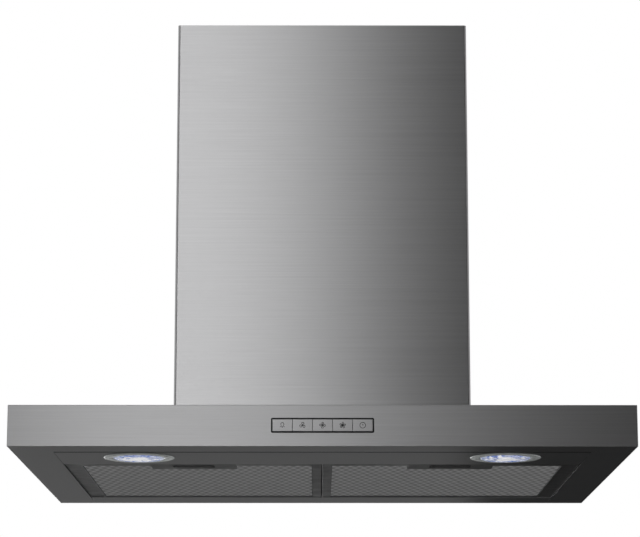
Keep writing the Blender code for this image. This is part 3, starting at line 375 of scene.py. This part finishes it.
def refined(node, look, other=None, facing=0, fold=0.0):
    """A welded, smooth-shaded skin on a CAD node's own shape.

    Walls that face within about 40 degrees of one axis can have another look. A fold radius rounds
    the sharp edges.
    """
    bm = bmesh.new()
    bm.from_mesh(NODES[node].data)
    bmesh.ops.remove_doubles(bm, verts=bm.verts, dist=0.001 * MM)
    bmesh.ops.dissolve_limit(bm, angle_limit=radians(0.5), verts=bm.verts, edges=bm.edges)
    for face in bm.faces:
        face.material_index = int(other is not None and abs(face.normal[facing]) > 0.75)
    piece = add_mesh(f"{node}_skin", bm, [look] if other is None else [look, other])
    if fold:
        bend = piece.modifiers.new("fold", "BEVEL")
        bend.width = fold
        bend.segments = 3
        bend.limit_method = "ANGLE"
    smooth(piece)
    return stand_for(piece, node)


def middle_of(node):
    """The middle of a CAD node's box."""
    low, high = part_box(node)
    return (low + high) / 2


def turned(name, profile, centre, sides, look, facets=False):
    """A closed profile of (radius, height) turned about a vertical axis."""
    bm = bmesh.new()
    turns = [2 * pi * side / sides for side in range(sides)]
    rings = []
    for radius, height in profile:
        if radius == 0:
            rings.append([bm.verts.new((0, 0, height))] * sides)
        else:
            rings.append([bm.verts.new((radius * cos(turn), radius * sin(turn), height)) for turn in turns])
    for ring, following in zip(rings, rings[1:] + rings[:1]):
        for side in range(sides):
            after = (side + 1) % sides
            corners = dict.fromkeys((ring[side], ring[after], following[after], following[side]))
            if len(corners) > 2:
                bm.faces.new(list(corners))
    bmesh.ops.recalc_face_normals(bm, faces=bm.faces)
    bmesh.ops.translate(bm, verts=bm.verts, vec=centre)
    piece = add_mesh(name, bm, [look])
    if not facets:
        smooth(piece, 40)
    return piece


# ---------------------------------------------------------------- filters

def face_mesh(node, room, look):
    """Expanded metal: zigzag strands that meet at knuckles.

    Each strand is a wedge whose underside rises towards the front. The strands stop at the latch
    plate's room, given as its left, right and back.
    """
    low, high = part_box(node)
    left, right, back = room
    step = CELL / 2
    rows = int((high.y - low.y) / step)
    front = (low.y + high.y - (rows - 1) * step) / 2
    level = (low.z + high.z) / 2
    swing = (step - STRAND) / 2
    half = STRAND / 2
    section = [(-half, STRAND_RISE), (-half + STRAND_EDGE / 4, STRAND_RISE - STRAND_EDGE),
               (half, -STRAND_RISE), (half, STRAND_RISE)]
    sides = len(section)
    points, faces = [], []
    for row in range(rows):
        middle = front + row * step
        spans = [(low.x, high.x)]
        if middle < back + STRAND:
            spans = [(low.x, left - STRAND_GAP), (right + STRAND_GAP, high.x)]
        for start, end in spans:
            inner = range(int((start - low.x) / step) + 1, int((end - low.x) / step) + 1)
            stations = [start] + [low.x + column * step for column in inner] + [end]
            for number, x in enumerate(stations):
                phase = (x - low.x) / step + row
                zigzag = 1 - 2 * abs(phase % 2 - 1)
                first = len(points)
                points += [(x, middle + swing * zigzag + y, level + z) for y, z in section]
                if number == 0:
                    faces.append(range(first, first + sides))
                    continue
                for edge in range(sides):
                    after = (edge + 1) % sides
                    faces.append((first - sides + edge, first + edge, first + after, first - sides + after))
            faces.append(range(first + sides - 1, first - 1, -1))
    mesh = bpy.data.meshes.new(f"{node}_face")
    mesh.from_pydata(points, [], faces)
    mesh.materials.append(look)
    piece = bpy.data.objects.new(f"{node}_face", mesh)
    bpy.context.scene.collection.objects.link(piece)
    return stand_for(piece, node)


def wire_pack(node, room, look):
    """The layers of wire above the face mesh, as one dimpled blanket, cut away round the latch."""
    low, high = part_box(node)
    left, right, back = room
    bm = bmesh.new()
    base = high.z + PACK_LIFT
    grid = []
    for row in range(PACK_ROWS + 1):
        line = []
        for column in range(PACK_COLUMNS + 1):
            x = low.x + (high.x - low.x) * column / PACK_COLUMNS
            y = low.y + (high.y - low.y) * row / PACK_ROWS
            rise = PACK_DIMPLE * sin(column * COLUMN_TURN) * sin(row * ROW_TURN)
            line.append(bm.verts.new((x, y, base + rise)))
        grid.append(line)
    for near, far in zip(grid, grid[1:]):
        for column in range(PACK_COLUMNS):
            corners = (near[column], near[column + 1], far[column + 1], far[column])
            start, end = corners[0].co, corners[1].co
            if start.y > back + STRAND or end.x < left or start.x > right:
                bm.faces.new(corners)
    loose = [vert for vert in bm.verts if not vert.link_faces]
    bmesh.ops.delete(bm, geom=loose, context="VERTS")
    piece = add_mesh(f"{node}_pack", bm, [look])
    thicken = piece.modifiers.new("blanket", "SOLIDIFY")
    thicken.thickness = PACK_THICKNESS
    thicken.offset = 1.0
    smooth(piece)
    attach(piece, BODY_OF[node])
    return piece


def filters(frame_look, mesh_look, pack_look):
    """Both filters: frame, latch, face mesh and the wire behind it."""
    for word in ("left", "right"):
        plate_low, plate_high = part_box(f"latch_plate_{word}")
        refined(f"filter_frame_{word}", frame_look)
        refined(f"latch_plate_{word}", frame_look)
        refined(f"latch_slider_{word}", frame_look)
        room = (plate_low.x, plate_high.x, plate_high.y)
        face_mesh(f"filter_mesh_{word}", room, mesh_look)
        wire_pack(f"filter_mesh_{word}", room, pack_look)


# ---------------------------------------------------------------- lamps

def notch(bezel, centre, reach, heading, looks):
    """A small slot in the bezel's face for a pry tool, at a radius and an angle in degrees. Its walls are
    painted black as the shade inside the slot.
    """
    bm = bmesh.new()
    place = centre + Vector((reach * cos(radians(heading)), reach * sin(radians(heading)), 0.0))
    bmesh.ops.create_cube(bm, size=1.0, matrix=Matrix.Translation(place) @ Matrix.Diagonal((*NOTCH, 1.0)))
    # Painted shade: the slot's walls take the second look, black plastic, for the dark inside of the slot
    for face in bm.faces:
        face.material_index = 1
    tool = add_mesh(f"{bezel.name}_notch", bm, looks)
    tool.hide_render = True
    tool.display_type = "WIRE"
    change = bezel.modifiers.new("notch", "BOOLEAN")
    change.operation = "DIFFERENCE"
    change.object = tool


def lamp(word, bezel_look, lens_look, body_look):
    """A flat ring with three slots, a glass pressed in steps and flat facets, and the lamp's body.

    Both outlines are in radius and height above the piece's lowest face.
    """
    centre = middle_of(f"lamp_bezel_{word}")
    low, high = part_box(f"lamp_bezel_{word}")
    outer = (high.x - low.x) / 2
    lens_low, lens_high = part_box(f"lamp_lens_{word}")
    inner = (lens_high.x - lens_low.x) / 2 + 0.3 * MM
    centre.z = low.z
    lip = 2.1 * MM
    crown = (outer + inner) / 2
    profile = [(outer - 0.3 * MM, lip), (outer - 0.5 * MM, 1.7 * MM), (outer - 1.4 * MM, 1.4 * MM),
               (crown + 2.5 * MM, 1.15 * MM), (crown, 1.1 * MM), (crown - 2.5 * MM, 1.15 * MM),
               (inner + 0.8 * MM, 1.35 * MM), (inner, 2.0 * MM), (inner, high.z - low.z),
               (outer - 4 * MM, high.z - low.z), (outer - 4 * MM, lip)]
    bezel = turned(f"lamp_bezel_{word}_ring", profile, centre, 96, bezel_look)
    # The second look, black plastic, is painted shade on the slots' walls
    bezel.data.materials.append(BLACK)
    # One slot on each side of the glass, and one near the rim
    for reach, heading in ((inner + 2.6 * MM, 0), (inner + 2.6 * MM, 180), (outer - 4.5 * MM, -28)):
        notch(bezel, centre, reach, heading, (bezel_look, BLACK))
    stand_for(bezel, f"lamp_bezel_{word}")
    lens_centre = Vector((centre.x, centre.y, lens_low.z))
    radius = inner - 0.3 * MM
    dome = [(radius, lens_high.z - lens_low.z), (radius, 1.1 * MM), (radius * 0.93, 0.5 * MM),
            (radius * 0.86, 0.75 * MM), (radius * 0.72, 0.3 * MM), (radius * 0.62, 0.6 * MM),
            (radius * 0.45, 0.1 * MM), (radius * 0.33, 0.4 * MM), (radius * 0.15, 0.0), (0, 0.1 * MM),
            (0, lens_high.z - lens_low.z)]
    lens = turned(f"lamp_lens_{word}_glass", dome, lens_centre, 36, lens_look, facets=True)
    stand_for(lens, f"lamp_lens_{word}")
    refined(f"lamp_body_{word}", body_look)


# ---------------------------------------------------------------- push buttons

def arc(centre, radius, start, end, steps=20):
    """Points along an arc from one angle in degrees to another."""
    angles = [radians(start + (end - start) * step / steps) for step in range(steps + 1)]
    return [(centre[0] + radius * cos(angle), centre[1] + radius * sin(angle)) for angle in angles]


def bulb_lines():
    """A light bulb with a short ray low on each side."""
    glass = arc((0, 1.0 * MM), 1.5 * MM, -20, 200)
    lines = [glass + [(-1.0 * MM, -1.0 * MM), (1.0 * MM, -1.0 * MM), glass[0]],
             [(-0.6 * MM, -2.0 * MM), (0.6 * MM, -2.0 * MM)]]
    for heading in (-40, 220):
        way = (cos(radians(heading)), sin(radians(heading)))
        lines.append([(2.1 * MM * way[0], 0.3 * MM + 2.1 * MM * way[1]),
                      (2.9 * MM * way[0], 0.3 * MM + 2.9 * MM * way[1])])
    return lines


def fan_lines(blades):
    """A fan: closed petals round a hub, each one fuller on its clockwise side."""
    lines = [arc((0, 0), 0.35 * MM, 0, 360, 10)]
    spacing = 360 / blades
    for blade in range(blades):
        heading = 90 + spacing * blade
        petal = [(0.0, 0.0)]
        for share, lean in PETAL:
            angle = radians(heading + spacing * lean)
            petal.append((PETAL_LENGTH * share * cos(angle), PETAL_LENGTH * share * sin(angle)))
        lines.append(petal + [(0.0, 0.0)])
    return lines


def clock_lines():
    """A dial with one hand."""
    return [arc((0, 0), 2.7 * MM, 0, 360, 32), [(0, 1.2 * MM), (0, 0), (0.8 * MM, 0.5 * MM)]]


def symbol(button, lines, look):
    """A printed symbol: flat strokes on the middle of the button's cap."""
    low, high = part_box(button)
    curve = bpy.data.curves.new(f"symbol_{button}", "CURVE")
    curve.dimensions = "3D"
    curve.bevel_depth = STROKE
    curve.bevel_resolution = 1
    curve.use_fill_caps = True
    for line in lines:
        spline = curve.splines.new("POLY")
        spline.points.add(len(line) - 1)
        for point, (x, z) in zip(spline.points, line):
            point.co = (x, 0.0, z, 1.0)
    curve.materials.append(look)
    piece = bpy.data.objects.new(f"symbol_{button}", curve)
    piece.location = ((low.x + high.x) / 2, low.y - 0.01 * MM, (low.z + high.z) / 2)
    piece.scale.y = 0.15
    bpy.context.scene.collection.objects.link(piece)
    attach(piece, BODY_OF[button])


def control_panel(frame_look, cap_look, ink, board_look):
    """The switch frame, the housing and board behind it, and the five marked buttons."""
    refined("switch_frame", frame_look)
    refined("switch_housing", frame_look)
    refined("switch_board", board_look)
    drawings = (bulb_lines(), fan_lines(3), fan_lines(4), fan_lines(5), clock_lines())
    for button, lines in zip(BUTTONS, drawings):
        refined(button, cap_look)
        symbol(button, lines, ink)


# ---------------------------------------------------------------- studio

def soft_card(name, place, size, power, target=None):
    """A rectangular light that faces the hood, or another target."""
    light = bpy.data.lights.new(name, "AREA")
    light.shape = "RECTANGLE"
    light.size, light.size_y = size
    light.energy = power
    made = bpy.data.objects.new(name, light)
    made.location = place
    facing = (CAD_LOW + CAD_HIGH) / 2 if target is None else Vector(target)
    made.rotation_euler = (Vector(place) - facing).to_track_quat("Z", "Y").to_euler()
    made.visible_camera = False
    bpy.context.scene.collection.objects.link(made)


def studio(floor_look):
    """A pale floor far below, a white background, and soft cards.

    The floor lights the hood but the steel doesn't mirror it, so the underside reflects the cards.
    """
    bm = bmesh.new()
    bmesh.ops.create_grid(bm, x_segments=1, y_segments=1, size=FLOOR_REACH)
    floor = add_mesh("floor", bm, [floor_look])
    floor.location.z = -FLOOR_DEPTH
    floor.visible_glossy = False

    world = bpy.data.worlds.new("studio")
    world.use_nodes = True
    tree = world.node_tree
    tree.nodes.clear()
    dim = add_node(tree, "ShaderNodeBackground", {"Color": hex_colour("#161616"), "Strength": 1.0})
    white = add_node(tree, "ShaderNodeBackground", {"Color": (1, 1, 1, 1), "Strength": 1.0})
    path = add_node(tree, "ShaderNodeLightPath")
    both = add_node(tree, "ShaderNodeMixShader", {0: path.outputs["Is Camera Ray"], 1: dim.outputs[0],
                                                  2: white.outputs[0]})
    add_node(tree, "ShaderNodeOutputWorld", {"Surface": both.outputs[0]})
    bpy.context.scene.world = world

    # Place and size in metres, power in watts
    soft_card("key_left_card", (-0.9, -6.0, 0.9), (0.4, 5.0), 7.3)
    soft_card("key_card", (-0.5, -6.0, 0.9), (0.4, 5.0), 11.3)
    soft_card("key_right_card", (-0.1, -6.0, 0.9), (0.4, 5.0), 6.8)
    soft_card("low_rear_card", (-0.35, 6.0, -1.2), (1.8, 1.0), 2.35)
    soft_card("low_left_card", (-2.15, 6.0, -1.2), (1.8, 1.0), 15.0)
    soft_card("below_card", (0.0, 0.0, -4.5), (5.0, 5.0), 14.0)
    soft_card("high_card", (0.0, 1.0, 3.5), (5.0, 5.0), 50.0)
    soft_card("left_card", (-5.5, 0.0, 0.8), (8.0, 8.0), 95.0)
    soft_card("right_card", (5.5, 0.0, 0.8), (8.0, 8.0), 75.0)
    soft_card("rear_card", (0.0, 5.5, 2.6), (12.0, 5.0), 95.0)
    soft_card("rear_left_card", (-5.0, 5.0, 0.0), (5.0, 8.0), 55.0)
    soft_card("rear_right_card", (5.0, 5.0, 0.0), (5.0, 8.0), 55.0)
    soft_card("front_left_card", (-5.2, -5.0, 0.0), (4.0, 7.0), 35.0)
    soft_card("front_right_card", (5.2, -5.0, 0.0), (4.0, 7.0), 28.0)
    soft_card("floor_card", (0.0, 0.0, -1.5), (20.0, 20.0), 1250.0, target=(0.0, 0.0, -FLOOR_DEPTH))


def camera():
    """A long lens in front of the canopy and below it, looking up."""
    low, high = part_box("canopy_shell")
    data = bpy.data.cameras.new("camera")
    data.sensor_width = 36.0
    data.lens = LENS
    made = bpy.data.objects.new("camera", data)
    made.location = ((low.x + high.x) / 2 + CAMERA_SIDE, low.y - CAMERA_BACK, low.z - CAMERA_DROP)
    made.rotation_euler = Euler((radians(90 + CAMERA_PITCH), 0.0, radians(-CAMERA_YAW)))
    bpy.context.scene.collection.objects.link(made)
    bpy.context.scene.camera = made
    bpy.context.scene.view_settings.view_transform = "Standard"


# ---------------------------------------------------------------- whole hood

camera()
studio(painted_floor("pale floor paint"))

FRONT_STEEL = brushed_stainless("brushed stainless steel, grain across", "X", roughness=0.325, smear=0.55)
SIDE_STEEL = brushed_stainless("brushed stainless steel, grain front to back", "Y")
CHIMNEY_STEEL = brushed_stainless("brushed stainless chimney, grain across", "X", roughness=0.285, smear=0.79)
CAP_STEEL = brushed_stainless("brushed steel button cap", "X", roughness=0.33, smear=0.5, streak=0.5)
GALVANISED = galvanised_steel("galvanised steel sheet")
ALUMINIUM = rolled_aluminium("rolled aluminium")
BLACK = moulded_plastic("moulded black ABS", "#101011", 0.40)
GREY = moulded_plastic("moulded grey polypropylene", "#7c7d80", 0.50)
BOARD = moulded_plastic("green solder mask", "#1c5a33", 0.35)
MOTOR = galvanised_steel("phosphated motor steel", "#55565a")
# Painted shade: a black matt look that stands in for the shade in the gaps beside the lamp panel
GAP_SHADE = moulded_plastic("painted black gap shade", "#0c0c0c", 0.8)
SCREW = satin_chrome("zinc-plated screw steel", "#c9c7bd")
# The bezel's glow is painted light from the lamp beside it
BEZEL = satin_chrome("satin-plated lamp bezel", "#dfe3e2", metallic=0.8, painted_lamp_glow=0.05)
GLASS = lit_lens("pressed lamp glass")

refined("canopy_shell", FRONT_STEEL, SIDE_STEEL)
# The lamp panel's walls that face forward and back are painted black, as shade in the gaps beside them
refined("lamp_panel", FRONT_STEEL, GAP_SHADE, facing=1)
refined("rear_strip", FRONT_STEEL, fold=0.5 * MM)
for section in ("lower_front", "lower_rear", "upper_front", "upper_rear"):
    refined(f"chimney_{section}", CHIMNEY_STEEL, SIDE_STEEL)
filters(ALUMINIUM, expanded_aluminium("expanded aluminium strands"), knitted_wire("knitted aluminium wire"))
for side in ("left", "right"):
    lamp(side, BEZEL, GLASS, GREY)
control_panel(BLACK, CAP_STEEL, printed_ink("printed symbol ink"), BOARD)

for node in ("ceiling_plate", "motor_box", "motor_bracket", "impeller"):
    refined(node, GALVANISED)
for number in range(1, 5):
    refined(f"upper_upright_{number}", GALVANISED)
    refined(f"lower_upright_{number}", GALVANISED)
    refined(f"lock_screw_{number}", SCREW)
for node in ("scroll_left", "scroll_right", "capacitor", "led_driver"):
    refined(node, GREY)
for node in ("outlet_collar", "damper_flap_left", "damper_flap_right", "junction_box", "junction_lid",
             "cable_gland"):
    refined(node, BLACK)
refined("motor", MOTOR)
